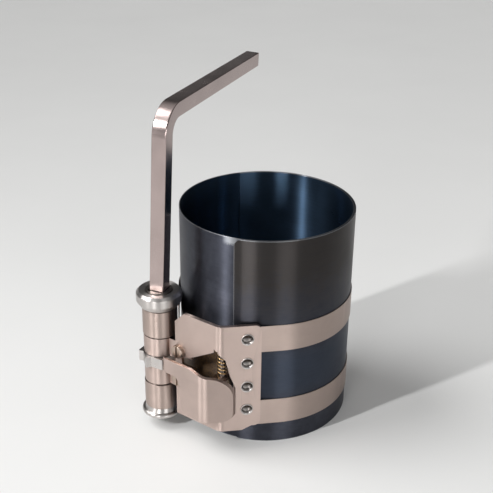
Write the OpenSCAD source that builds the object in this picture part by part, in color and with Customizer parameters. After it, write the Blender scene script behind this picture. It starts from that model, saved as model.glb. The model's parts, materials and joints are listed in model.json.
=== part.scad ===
// Piston ring compressor: a rolled steel sleeve, two tension bands that a ratchet
// arbor winds up, a release pawl and a square key.
// Millimetres. The sleeve's axis is Z, its lower rim is at Z = 0 and the bracket is at the front (-Y).

/* [Sleeve] */
// Height of the sleeve
sleeve_h = 88.9; // [75:0.1:110]
// Outer radius of the sleeve
sleeve_r = 35.2; // [32:0.1:42]
// Thickness of the sleeve sheet
sleeve_t = 0.4; // [0.3:0.05:0.5]
// Gap between the sleeve's two layers
layer_gap = 0.2; // [0.16:0.01:0.3]
// Angle of the sheet's outer end, seen from above
outer_end_angle = 249; // [242:1:254]
// Angle that the sheet's inner layer covers
inner_sweep = 220; // [180:1:222]
// Corner radius of the sheet's outer end
sheet_corner_r = 3.5; // [1:0.5:6]

/* [Tension bands] */
// Thickness of the bands
band_t = 0.32; // [0.25:0.01:0.4]
// Width of the bands
band_w = 11.3; // [9:0.1:12]
// Height of the ratchet wheel's middle, half way between the bands
mid_z = 31.5; // [26:0.1:40]
// Height of each band's middle above or below the wheel's middle
band_offset = 16.75; // [16.75:0.05:18]
// Gap between the bands and the sleeve
band_gap = 0.05; // [0.03:0.01:0.1]
// Length of flat band behind the frame's flange, from where the band meets the sleeve
band_flat = 18; // [16.5:0.1:18.2]
// Turns of band wound on the arbor
coil_turns = 4; // [2:1:4]
// Gap between the wound turns
coil_gap = 0.08; // [0.06:0.01:0.1]
// Gap between the wound turns and the band that runs off them
strand_gap = 0.25; // [0.2:0.05:0.4]

/* [Arbor] */
// Radius of the arbor
arbor_r = 5.1; // [5:0.05:5.3]
// Distance from the sleeve's surface to the arbor's axis
arbor_standoff = 11.3; // [11:0.1:13]
// Direction of the arbor from the sleeve's axis
arbor_angle = 206.2; // [204:0.1:208]
// Running clearance round the arbor, the pawl pin and the screws
run_gap = 0.05; // [0.02:0.01:0.08]
// Clearance between pieces that are pressed together
press_gap = 0.02; // [0.01:0.005:0.03]
// Radius of the arbor's head
head_r = 9; // [8.5:0.1:11]
// Height of the straight part of the arbor's head
head_h = 4.2; // [3:0.1:6]
// Height of the cone under the arbor's head
head_cone_h = 2.4; // [1:0.1:3]
// Gap between a wound band and the flanges beside it
coil_side_gap = 0.6; // [0.3:0.05:1]
// Radius of the arbor's lower flange
base_r = 8.2; // [7.6:0.1:9]
// Thickness of the arbor's lower flange
base_h = 2; // [1.5:0.1:3]
// Depth of the square socket
socket_depth = 12; // [8:0.5:20]
// Depth of the slots that hold the bands' inner ends
band_slot_depth = 0.9; // [0.7:0.05:1]

/* [Ratchet wheel] */
// Number of teeth
teeth = 8; // [6:1:10]
// Radius at the tips of the teeth
wheel_tip_r = 8.7; // [8.4:0.05:9]
// Depth of the teeth
tooth_depth = 1.6; // [1.2:0.05:1.8]
// Angle that the tooth faces lean back from a radius, seen from the wheel's axis
face_lean = 7.3; // [6.5:0.1:7.8]
// Height of the ratchet wheel
wheel_h = 4.6; // [4:0.1:5]
// Gap between the wheel and the knuckles
wheel_side_gap = 0.3; // [0.2:0.05:0.5]
// Radius of the cross pin in the wheel
wheel_pin_r = 0.8; // [0.6:0.05:1]

/* [Ratchet frame] */
// Thickness of the frame's sheet
sheet_t = 1.5; // [1.2:0.05:1.8]
// Heading of the frame's leaf, seen from above
leaf_angle = -35.9; // [-38:0.1:-34]
// Bend between the leaf and the flange
bend_angle = 45; // [43:0.5:47]
// Inner radius of that bend
bend_r = 3; // [2.8:0.1:3.2]
// Slit between the leaf and the clamped tails
slit = 1; // [0.6:0.1:1.4]
// Height of each knuckle
knuckle_h = 7.9; // [7.5:0.1:8]
// Length of the clamped tails, from the arbor's axis
tail_len = 15.5; // [15:0.1:16]
// Distance from the arbor's axis to the leaf's free edge
leaf_start = 9.5; // [9.3:0.1:10]
// Height of the frame's top edge above the wheel's middle
frame_rise = 24; // [22.5:0.1:26.5]
// Height of the frame's bottom edge below the wheel's middle
frame_drop = 23.5; // [22.5:0.1:25.5]
// Height of the step in the frame's bottom edge at the flange
flange_step = 1.9; // [0.5:0.1:3]
// Chamfer on the leaf's upper free corner
leaf_chamfer = 4.5; // [2:0.1:6]
// Distance from the flange's free edge to where the band meets the sleeve
flange_reach = 7.6; // [7:0.1:8.5]
// Corner radius of the flange
flange_corner_r = 2.5; // [1:0.1:4]
// Gap between the flange, the bands and the strip behind them
seat_gap = 0.03; // [0.02:0.01:0.05]
// Length of window on the flange at its foot, from the end of the bend
window_on_flange = 4.5; // [4:0.1:5]
// Length of window on the flange at its shoulder, from the end of the bend
window_shoulder = 2.4; // [1.5:0.1:3]
// Height of the window's shoulder above the wheel's middle
shoulder_rise = 2; // [0:0.1:4]
// Height of the window's peak above the wheel's middle
peak_rise = 13.3; // [11:0.1:14]

/* [Clamp screws] */
// Distance from the arbor's axis to the screws
screw_s = 11.3; // [11:0.1:11.8]
// Radius of the screw shanks
screw_r = 1.6; // [1.4:0.05:1.8]
// Radius of the screw heads
screw_head_r = 2.8; // [2.4:0.1:3]
// Height of the screw heads
screw_head_h = 1.8; // [1.4:0.1:2.2]
// Width of the nuts across their flats
nut_side = 6; // [5.5:0.1:6.4]
// Thickness of the nuts
nut_h = 2.5; // [2:0.1:2.8]
// Length of screw that shows behind the nut
screw_spare = 1.2; // [0.5:0.1:1.5]

/* [Rivets] */
// Distance from the flange's free edge to the rivets
rivet_inset = 5.4; // [5:0.1:5.8]
// Radius of the rivet shanks
rivet_r = 2; // [1.8:0.05:2.1]
// Radius of the rivet heads
rivet_head_r = 2.5; // [2.3:0.05:2.6]
// Height of the rivet heads
rivet_head_h = 0.45; // [0.3:0.05:0.6]
// Radius of the hole in each tubular rivet
rivet_hole_r = 1.65; // [1.3:0.05:1.7]
// Distance between neighbouring rivets
rivet_pitch = 10.6; // [10:0.1:11.5]
// Height of the rivet row's middle above the wheel's middle
rivet_rise = 2.2; // [1:0.1:3]
// Thickness of the strip behind the band ends
strip_t = 0.8; // [0.6:0.05:1]

/* [Release pawl] */
// Thickness of the pawl's sheet
pawl_t = 1.5; // [1.2:0.05:1.6]
// Angle that the pawl is lifted out of the teeth
pawl_lift = 5; // [4.8:0.1:6]
// Radius of the pawl's pin
pin_r = 1.25; // [1:0.05:1.4]
// Radius of the lugs and ears round the pin
lug_r = 3.5; // [3.3:0.1:3.7]
// Distance of the pawl's crest from the leaf's middle line, outwards
crest_out = 6.6; // [6.4:0.1:7.4]
// Distance of the pawl's crest from the pin, along the leaf
crest_back = 2.9; // [2:0.1:4]
// Angle between the pawl's thumb wing and the leaf
wing_angle = 35; // [30:0.5:37]
// Length of the thumb wing, from the crest
wing_len = 12.2; // [11:0.1:12.6]
// Radius of the pawl's crest
crest_r = 6; // [4:0.5:8]
// Height of the thumb pad's lower edge below the wheel's middle
pad_drop = 17.5; // [16.5:0.1:19.5]
// Height of the thumb pad's upper edge above the wheel's middle
pad_rise = 2.8; // [2.3:0.1:3.5]
// Corner radius at the thumb pad's top
pad_top_r = 9; // [6:0.5:10]
// Corner radius at the thumb pad's foot
pad_foot_r = 4; // [2:0.5:5]
// Distance of the thumb pad's edge from the pin, along the leaf
pad_reach = 6.9; // [6:0.1:7.2]
// Height of the pawl arm's upper edge above the wheel's middle
arm_rise = 4.7; // [4:0.1:5.3]
// Wire thickness of the pawl's spring
wire_d = 0.7; // [0.5:0.05:0.8]
// Turns of the pawl's spring
spring_turns = 8; // [5:1:9]
// Distance of the spring's front leg from the pin, along the leaf
wing_leg_along = 1.8; // [1.5:0.1:2]
// Distance of the spring's front leg from the pin, outwards
wing_leg_out = 4.2; // [3.9:0.1:4.3]

/* [Key] */
// Width of the square bar
key_side = 6; // [5:0.05:6.1]
// Clearance round the key in its socket
key_gap = 0.35; // [0.3:0.01:0.4]
// Height of the middle of the key's arm above the sleeve's lower rim
key_top = 132; // [110:0.5:150]
// Length of the key's arm, from the middle of its shaft
key_arm = 89.5; // [60:0.5:110]
// Bend radius at the middle of the key's bar
key_bend_r = 8.5; // [7:0.1:12]
// Heading of the key's arm, seen from above
key_heading = 69; // [0:1:359]
// Lean of the key in its loose socket, towards +X
key_lean = 2.5; // [0:0.1:2.6]
// Chamfer along the key's edges and ends
key_chamfer = 0.5; // [0.2:0.05:0.8]

/* [Hidden] */
$fn = 96;

function polar(r, a) = [r * cos(a), r * sin(a)];

// Overlap of cutters past the faces that they cut
past = 1;

// Sleeve layers
outer_in = sleeve_r - sleeve_t;
layer_step = sleeve_t + layer_gap;
bore_r = outer_in - layer_step;

// Bands
band_in = sleeve_r + band_gap;
upper_z = mid_z + band_offset - band_w / 2;
lower_z = mid_z - band_offset - band_w / 2;
flange_heading = leaf_angle + bend_angle;
band_start = flange_heading - 90;
// The straight strand is this much slimmer on each side, and starts this far inside the arc
strand_lap = 0.02;
strand_root = 0.8;
coil_in = arbor_r + run_gap;
coil_pitch = band_t + coil_gap;
coil_out = coil_in + coil_turns * coil_pitch + band_t;

// Arbor, which stands this far above its head and below its lower flange
arbor_over = 0.3;
arbor_under = 0.8;
head_chamfer = 1.1;
head_lip = 0.4;
base_neck = 1.5;
base_chamfer = 0.5;
base_gap = 0.3;
// Play round a band's inner end in its slot
slot_play = 0.1;
arbor_dist = sleeve_r + arbor_standoff;
arbor_at = polar(arbor_dist, arbor_angle);
strand_reach = band_in + band_t + coil_out + strand_gap;
strand_turn = acos(strand_reach / arbor_dist);
strand_angle = arbor_angle - strand_turn;
strand_len = arbor_dist * sin(strand_turn);
head_cone_z = upper_z + band_w + coil_side_gap;
head_z = head_cone_z + head_cone_h;
arbor_top = head_z + head_h + arbor_over;
base_top = lower_z - coil_side_gap - base_neck;
arbor_bottom = base_top - base_h - arbor_under;
socket_side = key_side + 2 * key_gap;
socket_floor = arbor_top - socket_depth;
band_slot_w = band_t + 2 * slot_play;
band_tab_in = arbor_r - band_slot_depth;

// Ratchet wheel
wheel_root_r = wheel_tip_r - tooth_depth;
wheel_pin_len = 2 * wheel_root_r - 0.4;
tooth_angle = 360 / teeth;
// Share of the tooth angle at which the tip begins
tooth_crest = 0.78;
// Local angle of the tooth face that the pawl meets
face_angle = -38;

// Frame, in leaf coordinates: X along the leaf from the arbor, -Y outwards
knuckle_in = arbor_r + run_gap;
knuckle_out = knuckle_in + sheet_t;
upper_knuckle_z = mid_z + wheel_h / 2 + wheel_side_gap;
lower_knuckle_z = mid_z - wheel_h / 2 - wheel_side_gap - knuckle_h;
leaf_face = slit / 2 + sheet_t;
bend_out = bend_r + sheet_t;
flange_in = band_in + band_t + seat_gap;
flange_out = flange_in + sheet_t;
pin_y = bend_r - slit / 2;
arbor_normal = arbor_dist * cos(arbor_angle - band_start);
arbor_along = arbor_dist * cos(arbor_angle - flange_heading);
pin_s = (flange_out - bend_out - arbor_normal + pin_y * cos(bend_angle)) / sin(bend_angle);
pin_along = arbor_along + pin_s * cos(bend_angle) + pin_y * sin(bend_angle);
frame_top = mid_z + frame_rise;
frame_bottom = mid_z - frame_drop;
frame_h = frame_rise + frame_drop;
// The flange is this much slimmer than the bend on each side, and starts this far inside it
flange_lap = 0.02;
flange_root = 0.28;
flange_bottom = frame_bottom + flange_step;
// Sheet left between the window and the free edge, the screw heads and the lower lug
leaf_lip = 3.1;
screw_margin = 0.9;
lug_margin = 1.5;
// Room in the window below the pad, under the wheel and over the wheel
pad_overhang = 1.9;
wheel_room = 1;
arm_room = 1.6;
// Run and rise of the window's upper corner at the screw
window_corner = [1.3, 1];
// Elbow of the window's slanted edge: its place after the bend and its depth below the peak
window_elbow = [0.6, 4];
// The flange's cut runs this far into the leaf, and rises as far above the peak there
window_past = 0.5;
window_bottom = mid_z - pad_drop + pad_overhang;
window_peak = mid_z + peak_rise;
window_low = mid_z - wheel_h / 2 - wheel_room;
window_high = mid_z + wheel_h / 2 + arm_room;
window_tip = leaf_start + leaf_lip;
window_left = screw_s + screw_head_r + screw_margin;
window_low_left = pin_s - lug_r - lug_margin;
// The lugs stand this far back from the window's edges
lug_gap = 0.1;
lower_lug_z = window_bottom - lug_gap - sheet_t;
upper_lug_z = window_peak + window_past + lug_gap;
lug_zs = [lower_lug_z, upper_lug_z];
// The window reaches this much lower on the flange and the bend than on the leaf
window_lap = 0.05;
bend_start = pin_along - bend_out * sin(bend_angle);

// Clamp screws
upper_screw_z = upper_knuckle_z + knuckle_h / 2;
lower_screw_z = lower_knuckle_z + knuckle_h / 2;
nut_y = slit / 2 + sheet_t;
screw_end_y = nut_y + nut_h + screw_spare;
screw_slot = 0.8;

// Rivets
rivet_along = -(flange_reach + rivet_inset);
rivet_zs = [for (i = [-1.5 : 1 : 1.5]) mid_z + rivet_rise + i * rivet_pitch];
strip_out = band_in - seat_gap;
strip_in = strip_out - strip_t;
strip_margin = 3;

// Pawl, in leaf coordinates with its tip in the teeth
tip_gap = 0.15;
tip_play = 2.5;
tip_extra = 0.3;
tip_margin = 0.4;
tip_angle = face_angle + tip_play;
tip_low = mid_z - wheel_h / 2 + tip_margin;
// Rise of the arm's upper edge and run of its level part before the crest
arm_slope = 0.5;
arm_run = 6;
arm_top = mid_z + arm_rise;
pad_top = mid_z + pad_rise;
pad_bottom = mid_z - pad_drop;
// Slant from the arm's lower edge to the pad's near edge
pad_slant = [2.2, 3.4];
crest_s = pin_s - crest_back;
pad_right = pin_s + pad_reach;
pad_left = window_left + 0.2;
// Ears: size, places below the pad's top and above the window's foot, and how far they stop short
ear_t = 1.2;
ear_r = lug_r - 0.9;
ear_drop = 3.9;
ear_lift = 0.5;
ear_short = 3.2;
ear_len = pin_y + crest_out - ear_short;
upper_ear_z = pad_top - ear_drop;
lower_ear_z = window_bottom + ear_lift;
// Room between the spring and the pin, and between the spring and what is above and below it
coil_room = 0.35;
spring_gap = 0.2;
spring_r = pin_r + run_gap + coil_room + wire_d / 2;
spring_bottom = upper_ear_z + ear_t + spring_gap + wire_d / 2;
spring_top = upper_lug_z - spring_gap - wire_d / 2;
pin_head_h = 0.8;
pin_head_r = pin_r + 0.6;
pin_bottom = lower_lug_z - pin_head_h;
pin_top = upper_lug_z + sheet_t + pin_head_h;

steel_blue = [0.10, 0.115, 0.14];
nickel = [0.71, 0.66, 0.62];
bright_steel = [0.78, 0.76, 0.74];
dark_steel = [0.36, 0.34, 0.33];
brass_steel = [0.55, 0.45, 0.30];

// Placing helpers

module in_leaf() translate([arbor_at.x, arbor_at.y, 0]) rotate([0, 0, leaf_angle]) children();

// X is the distance from the sleeve's axis, Y runs along the flange
module in_flange() rotate([0, 0, band_start]) children();

module at_arbor() translate([arbor_at.x, arbor_at.y, 0]) children();

module at_pin() in_leaf() translate([pin_s, pin_y, 0]) children();

// Shared shapes

module arc_wall(r, t, h, from, sweep)
    rotate([0, 0, from]) rotate_extrude(angle = sweep) translate([r, 0]) square([t, h]);

// Waste at a plate's corner: the plate lies towards +X and +Y of the corner
module corner_waste(r, depth)
    difference() {
        translate([-past, -past, 0]) cube([r + past, r + past, depth]);
        translate([r, r, -past]) cylinder(r = r, h = depth + 2 * past);
    }

// A plate in leaf coordinates from an outline of [distance along the leaf, height]
module leaf_plate(outline, y, t)
    translate([0, y + t, 0]) rotate([90, 0, 0]) linear_extrude(t) polygon(outline);

// A round pin along the flange's normal, from one distance to another
module flange_pin(r, from, to, along, z)
    in_flange() translate([from, along, z]) rotate([0, 90, 0]) cylinder(r = r, h = to - from);

// Sleeve and bands

module sheet_end()
    difference() {
        arc_wall(outer_in, sleeve_t, sleeve_h, 0, 180);
        translate([outer_in - past, 0, 0]) rotate([90, 0, 90])
            corner_waste(sheet_corner_r, sleeve_t + 2 * past);
        translate([outer_in - past, 0, sleeve_h]) mirror([0, 0, 1]) rotate([90, 0, 90])
            corner_waste(sheet_corner_r, sleeve_t + 2 * past);
    }

module sleeve_rivet_hole(z)
    translate([0, outer_in - layer_gap / 2, z]) rotate([-90, 0, 0])
        cylinder(r = rivet_r + press_gap, h = sleeve_t + band_t + past);

// The inner layer, half a turn that rises by one layer, then half a turn outside
module sleeve() color(steel_blue)
    difference() {
        rotate([0, 0, outer_end_angle]) {
            arc_wall(bore_r, sleeve_t, sleeve_h, 0, inner_sweep);
            translate([-layer_step / 2, 0, 0])
                arc_wall(outer_in - layer_step / 2, sleeve_t, sleeve_h, 180, 180);
            sheet_end();
        }
        sleeve_rivet_hole(upper_z + band_w / 2);
        sleeve_rivet_hole(lower_z + band_w / 2);
    }

module tension_band(z, rivet_z)
    difference() {
        union() {
            in_flange() translate([0, 0, z]) {
                arc_wall(band_in, band_t, band_w, 0, strand_angle - band_start);
                translate([band_in, -band_flat, 0]) cube([band_t, band_flat, band_w]);
            }
            rotate([0, 0, strand_angle]) translate([band_in + strand_lap, -strand_root, z + strand_lap])
                cube([band_t - 2 * strand_lap, strand_len + strand_root, band_w - 2 * strand_lap]);
        }
        flange_pin(rivet_r + press_gap, band_in - past, flange_in + past, rivet_along, rivet_z);
        sleeve_rivet_hole(z + band_w / 2);
    }

module upper_band() color(nickel) tension_band(upper_z, rivet_zs[3]);

module lower_band() color(nickel) tension_band(lower_z, rivet_zs[0]);

// A spiral of half circles round the arbor, with a tab in the arbor's slot
module band_coil(z)
    at_arbor() rotate([0, 0, strand_angle - 180]) translate([0, 0, z]) {
        for (half = [0 : 2 * coil_turns - 1])
            translate([(half % 2 == 0 ? -1 : 1) * coil_pitch / 4, 0, 0])
                arc_wall(coil_in + coil_pitch / 4 + half * coil_pitch / 2, band_t, band_w,
                         half * 180, 180);
        translate([band_tab_in, 0, 0]) cube([coil_in + band_t - band_tab_in, band_t, band_w]);
    }

module upper_band_coil() color(nickel) band_coil(upper_z);

module lower_band_coil() color(nickel) band_coil(lower_z);

module sleeve_rivet(z)
    translate([0, 0, z]) rotate([-90, 0, 0]) {
        translate([0, 0, outer_in + press_gap]) cylinder(r = rivet_r, h = sleeve_t + band_t + band_gap);
        translate([0, 0, band_in + band_t + press_gap])
            cylinder(r1 = rivet_head_r, r2 = rivet_r, h = rivet_head_h);
    }

module sleeve_rivets() color(nickel) {
    sleeve_rivet(upper_z + band_w / 2);
    sleeve_rivet(lower_z + band_w / 2);
}

// Arbor and what turns with it

module arbor() color(dark_steel)
    at_arbor() difference() {
        translate([0, 0, arbor_bottom]) cylinder(r = arbor_r, h = arbor_top - arbor_bottom);
        rotate([0, 0, key_heading]) translate([-socket_side / 2, -socket_side / 2, socket_floor])
            cube([socket_side, socket_side, socket_depth + past]);
        rotate([0, 0, strand_angle - 180]) for (z = [upper_z, lower_z])
            translate([band_tab_in - slot_play, -slot_play, z - slot_play])
                cube([arbor_r, band_slot_w, band_w + 2 * slot_play]);
        wheel_pin_hole();
    }

module wheel_pin_hole()
    translate([0, 0, mid_z]) rotate([0, 0, leaf_angle + face_angle + tooth_angle / 4]) rotate([0, 90, 0])
        cylinder(r = wheel_pin_r + press_gap, h = 2 * wheel_tip_r + 2 * past, center = true);

module arbor_head() color(bright_steel)
    at_arbor() rotate_extrude() polygon([
        [arbor_r + press_gap, head_cone_z],
        [coil_out + head_lip, head_cone_z],
        [head_r, head_z],
        [head_r, head_z + head_h - head_chamfer],
        [head_r - head_chamfer, head_z + head_h],
        [arbor_r + press_gap, head_z + head_h]
    ]);

module lower_flange() color(bright_steel)
    at_arbor() rotate_extrude() polygon([
        [arbor_r + press_gap, base_top - base_h],
        [base_r - base_chamfer, base_top - base_h],
        [base_r, base_top - base_h + base_chamfer],
        [base_r, base_top - base_chamfer],
        [base_r - base_chamfer, base_top],
        [coil_out, base_top],
        [coil_out - 2 * base_gap, lower_z - base_gap],
        [arbor_r + press_gap, lower_z - base_gap]
    ]);

// Each tooth rises slowly anticlockwise and drops at a face that points at the pawl's pin
module ratchet_wheel() color(bright_steel)
    at_arbor() difference() {
        translate([0, 0, mid_z - wheel_h / 2]) rotate([0, 0, leaf_angle + face_angle])
            linear_extrude(wheel_h) polygon([
                for (i = [0 : teeth - 1], step = [0 : 2])
                    step == 0 ? polar(wheel_root_r, i * tooth_angle)
                    : step == 1 ? polar(wheel_tip_r, (i + tooth_crest) * tooth_angle)
                    : polar(wheel_tip_r, (i + 1) * tooth_angle - face_lean)
            ]);
        translate([0, 0, mid_z - wheel_h / 2 - past])
            cylinder(r = arbor_r + press_gap, h = wheel_h + 2 * past);
        wheel_pin_hole();
    }

module wheel_pin() color(dark_steel)
    at_arbor() translate([0, 0, mid_z]) rotate([0, 0, leaf_angle + face_angle + tooth_angle / 4])
        rotate([0, 90, 0])
            cylinder(r = wheel_pin_r, h = wheel_pin_len, center = true);

// Ratchet frame and its fasteners

module leaf_window()
    leaf_plate([
        [window_low_left, window_bottom],
        [window_low_left, window_low],
        [window_left, window_low],
        [window_tip, mid_z - wheel_h / 2],
        [window_tip, window_high],
        [window_left + window_corner.x, window_high + window_corner.y],
        [pin_s + past, window_peak],
        [pin_s + past, window_bottom]
    ], -leaf_face - past, sheet_t + 2 * past);

// A cut through the flange and the bend, from an outline of [place along the flange, height]
module flange_cut(outline)
    in_flange() translate([flange_in - bend_r, 0, 0]) rotate([90, 0, 90])
        linear_extrude(bend_r + sheet_t + past) polygon(outline);

module flange_window()
    flange_cut([
        [bend_start - window_past, window_bottom - window_lap],
        [pin_along + window_on_flange, window_bottom - window_lap],
        [pin_along + window_on_flange, window_low],
        [pin_along + window_shoulder, mid_z + shoulder_rise],
        [pin_along + window_elbow.x, window_peak - window_elbow.y],
        [bend_start - window_past, window_peak + window_past]
    ]);

// The flange's lower edge steps up at the rivet row
module flange_step_cut()
    flange_cut([
        [rivet_along - flange_step, frame_bottom - past],
        [rivet_along - flange_step, frame_bottom],
        [rivet_along + flange_step, flange_bottom],
        [past - flange_reach, flange_bottom],
        [past - flange_reach, frame_bottom - past]
    ]);

module ratchet_frame() color(nickel)
    difference() {
        union() {
            in_leaf() {
                leaf_plate([
                    [leaf_start, frame_bottom],
                    [pin_s, frame_bottom],
                    [pin_s, frame_top],
                    [leaf_start + leaf_chamfer, frame_top],
                    [leaf_start, frame_top - leaf_chamfer]
                ], -leaf_face, sheet_t);
                for (z = [lower_knuckle_z, upper_knuckle_z]) translate([0, 0, z]) {
                    cylinder(r = knuckle_out, h = knuckle_h);
                    translate([0, -leaf_face, 0]) cube([leaf_start + past, sheet_t, knuckle_h]);
                    translate([0, slit / 2, 0]) cube([tail_len, sheet_t, knuckle_h]);
                }
            }
            at_pin() {
                translate([0, 0, frame_bottom])
                    arc_wall(bend_r, sheet_t, frame_h, -90, bend_angle);
                for (z = lug_zs) translate([0, 0, z]) cylinder(r = lug_r, h = sheet_t);
            }
            in_flange()
                translate([flange_in + flange_lap, pin_along - flange_root, frame_bottom + flange_lap])
                    cube([sheet_t - 2 * flange_lap, flange_root - flange_reach - pin_along,
                          frame_h - 2 * flange_lap]);
        }
        in_leaf() {
            for (z = [lower_knuckle_z, upper_knuckle_z]) translate([0, 0, z - past]) {
                cylinder(r = knuckle_in, h = knuckle_h + 2 * past);
                translate([0, -slit / 2, 0]) cube([leaf_start, slit, knuckle_h + 2 * past]);
            }
            for (z = [lower_screw_z, upper_screw_z])
                translate([screw_s, nut_y + past, z]) rotate([90, 0, 0])
                    cylinder(r = screw_r + run_gap, h = 2 * nut_y + 2 * past);
            leaf_window();
        }
        at_pin() for (z = lug_zs) translate([0, 0, z - past])
            cylinder(r = pin_r + press_gap, h = sheet_t + 2 * past);
        flange_window();
        flange_step_cut();
        in_flange() {
            translate([flange_in - past, -flange_reach, flange_bottom])
                mirror([0, 1, 0]) rotate([90, 0, 90]) corner_waste(flange_corner_r, sheet_t + 2 * past);
            translate([flange_in - past, -flange_reach, frame_top])
                mirror([0, 1, 0]) mirror([0, 0, 1]) rotate([90, 0, 90])
                    corner_waste(flange_corner_r, sheet_t + 2 * past);
        }
        for (z = rivet_zs)
            flange_pin(rivet_r + press_gap, flange_in - past, flange_out + past, rivet_along, z);
    }

module band_anchor_strip() color(nickel)
    difference() {
        in_flange() translate([strip_in, -band_flat, rivet_zs[0] - strip_margin])
            cube([strip_t, band_flat + rivet_along + strip_margin,
                  rivet_zs[3] - rivet_zs[0] + 2 * strip_margin]);
        for (z = rivet_zs)
            flange_pin(rivet_r + press_gap, strip_in - past, strip_out + past, rivet_along, z);
    }

module flange_rivet(z)
    difference() {
        union() {
            flange_pin(rivet_r, strip_in - press_gap, flange_out + press_gap, rivet_along, z);
            flange_pin(rivet_head_r, flange_out + press_gap, flange_out + press_gap + rivet_head_h,
                       rivet_along, z);
            flange_pin(rivet_head_r, strip_in - press_gap - rivet_head_h, strip_in - press_gap,
                       rivet_along, z);
        }
        flange_pin(rivet_hole_r, strip_in - past - rivet_head_h, flange_out + past, rivet_along, z);
    }

module flange_rivets() color(bright_steel) for (z = rivet_zs) flange_rivet(z);

module clamp_nut(z)
    in_leaf() difference() {
        translate([screw_s - nut_side / 2, nut_y + press_gap, z - nut_side / 2])
            cube([nut_side, nut_h, nut_side]);
        translate([screw_s, screw_end_y + past, z]) rotate([90, 0, 0])
            cylinder(r = screw_r + run_gap, h = screw_end_y);
    }

module upper_clamp_nut() color(dark_steel) clamp_nut(upper_screw_z);

module lower_clamp_nut() color(dark_steel) clamp_nut(lower_screw_z);

module clamp_screw(z)
    in_leaf() translate([screw_s, 0, z]) rotate([90, 0, 0]) {
        translate([0, 0, -screw_end_y]) cylinder(r = screw_r, h = screw_end_y + leaf_face + run_gap);
        difference() {
            translate([0, 0, leaf_face + run_gap]) cylinder(r = screw_head_r, h = screw_head_h);
            translate([-screw_slot / 2, -screw_head_r - past, leaf_face + screw_head_h - screw_slot])
                cube([screw_slot, 2 * screw_head_r + 2 * past, screw_slot + past]);
        }
    }

module upper_clamp_screw() color(brass_steel) clamp_screw(upper_screw_z);

module lower_clamp_screw() color(brass_steel) clamp_screw(lower_screw_z);

// Pawl, its pin and its spring

// Points of an arc round a centre
function arc_points(centre, r, from, to, steps = 8) =
    [for (i = [0 : steps]) centre + polar(r, from + (to - from) * i / steps)];

// Plan of the pawl's sheet: tip, arm, crest and wing
tip_in = polar(wheel_root_r + tip_gap, tip_angle);
tip_out = polar(wheel_root_r + tip_gap + pawl_t + tip_extra, tip_angle);
crest_mid = [crest_s, -crest_out];
arm_angle = atan2(crest_mid.y - (tip_in.y + tip_out.y) / 2, crest_mid.x - (tip_in.x + tip_out.x) / 2);
crest_centre = crest_mid - polar(crest_r, (arm_angle + wing_angle) / 2 - 90);
wing_end = crest_mid + polar(wing_len, wing_angle);
wing_side = polar(pawl_t / 2, wing_angle - 90);

module pawl_plan()
    polygon(concat(
        [tip_in, tip_out],
        arc_points(crest_centre, crest_r + pawl_t / 2, arm_angle - 90, wing_angle - 90),
        [wing_end + wing_side, wing_end - wing_side],
        arc_points(crest_centre, crest_r - pawl_t / 2, wing_angle - 90, arm_angle - 90)
    ));

// Front outline of the pawl: a narrow tip that widens to the thumb pad
module pawl_front()
    leaf_plate(concat(
        [[0, tip_low], [0, arm_top - arm_slope], [crest_s - arm_run, arm_top]],
        arc_points([pad_right - pad_top_r, pad_top - pad_top_r], pad_top_r, 90, 0),
        arc_points([pad_right - pad_foot_r, pad_bottom + pad_foot_r], pad_foot_r, 0, -90),
        arc_points([pad_left + pad_foot_r, pad_bottom + pad_foot_r], pad_foot_r, -90, -180),
        [[pad_left, tip_low - pad_slant.y], [pad_left - pad_slant.x, tip_low]]
    ), -2 * crest_out, 3 * crest_out);

module pawl_engaged()
    difference() {
        union() {
            intersection() {
                linear_extrude(frame_top) pawl_plan();
                pawl_front();
            }
            for (z = [lower_ear_z, upper_ear_z]) translate([pin_s, pin_y, z]) {
                cylinder(r = ear_r, h = ear_t);
                translate([-ear_r, -ear_len, 0]) cube([2 * ear_r, ear_len, ear_t]);
            }
        }
        for (z = [lower_ear_z, upper_ear_z]) translate([pin_s, pin_y, z - past])
            cylinder(r = pin_r + run_gap, h = ear_t + 2 * past);
    }

module release_pawl() color(nickel)
    at_pin() rotate([0, 0, pawl_lift]) translate([-pin_s, -pin_y, 0]) pawl_engaged();

module pawl_pin() color(dark_steel)
    at_pin() {
        translate([0, 0, pin_bottom]) cylinder(r = pin_r, h = pin_top - pin_bottom);
        for (z = [pin_bottom - press_gap, pin_top - pin_head_h + press_gap])
            translate([0, 0, z]) cylinder(r = pin_head_r, h = pin_head_h);
    }

// Spring wire: a leg to the wing, the coil, and a leg to the back of the leaf
wire_sides = 6;
steps_per_turn = 12;
coil_steps = spring_turns * steps_per_turn;
spring_rise = spring_top - spring_bottom;
// Gap between the back leg and the leaf
leg_gap = 0.1;
wing_leg = [wing_leg_along, -wing_leg_out];
leaf_leg = [pad_left + 1 - pin_s, -pin_y - slit / 2 + wire_d / 2 + leg_gap];
// The coil runs clockwise, from where the front leg meets it to where the back leg leaves it
coil_from = atan2(wing_leg.y, wing_leg.x) - acos(spring_r / norm(wing_leg));
coil_sweep = coil_from + 90 + spring_turns * 360;
wire_path = concat(
    [[wing_leg.x, wing_leg.y, spring_bottom]],
    [for (i = [0 : coil_steps])
        let (a = coil_from - coil_sweep * i / coil_steps)
        [spring_r * cos(a), spring_r * sin(a), spring_bottom + spring_rise * i / coil_steps]],
    [[leaf_leg.x, leaf_leg.y, spring_top]]
);

function unit(v) = v / norm(v);

// Ring of points round the wire at one point of its path
function wire_ring(path, i) =
    let (
        before = path[max(i - 1, 0)],
        after = path[min(i + 1, len(path) - 1)],
        along = unit(after - before),
        side = unit(cross([0, 0, 1], along)),
        over = cross(along, side)
    )
    [for (k = [0 : wire_sides - 1])
        path[i] + wire_d / 2 * (cos(k * 360 / wire_sides) * side + sin(k * 360 / wire_sides) * over)];

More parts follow.
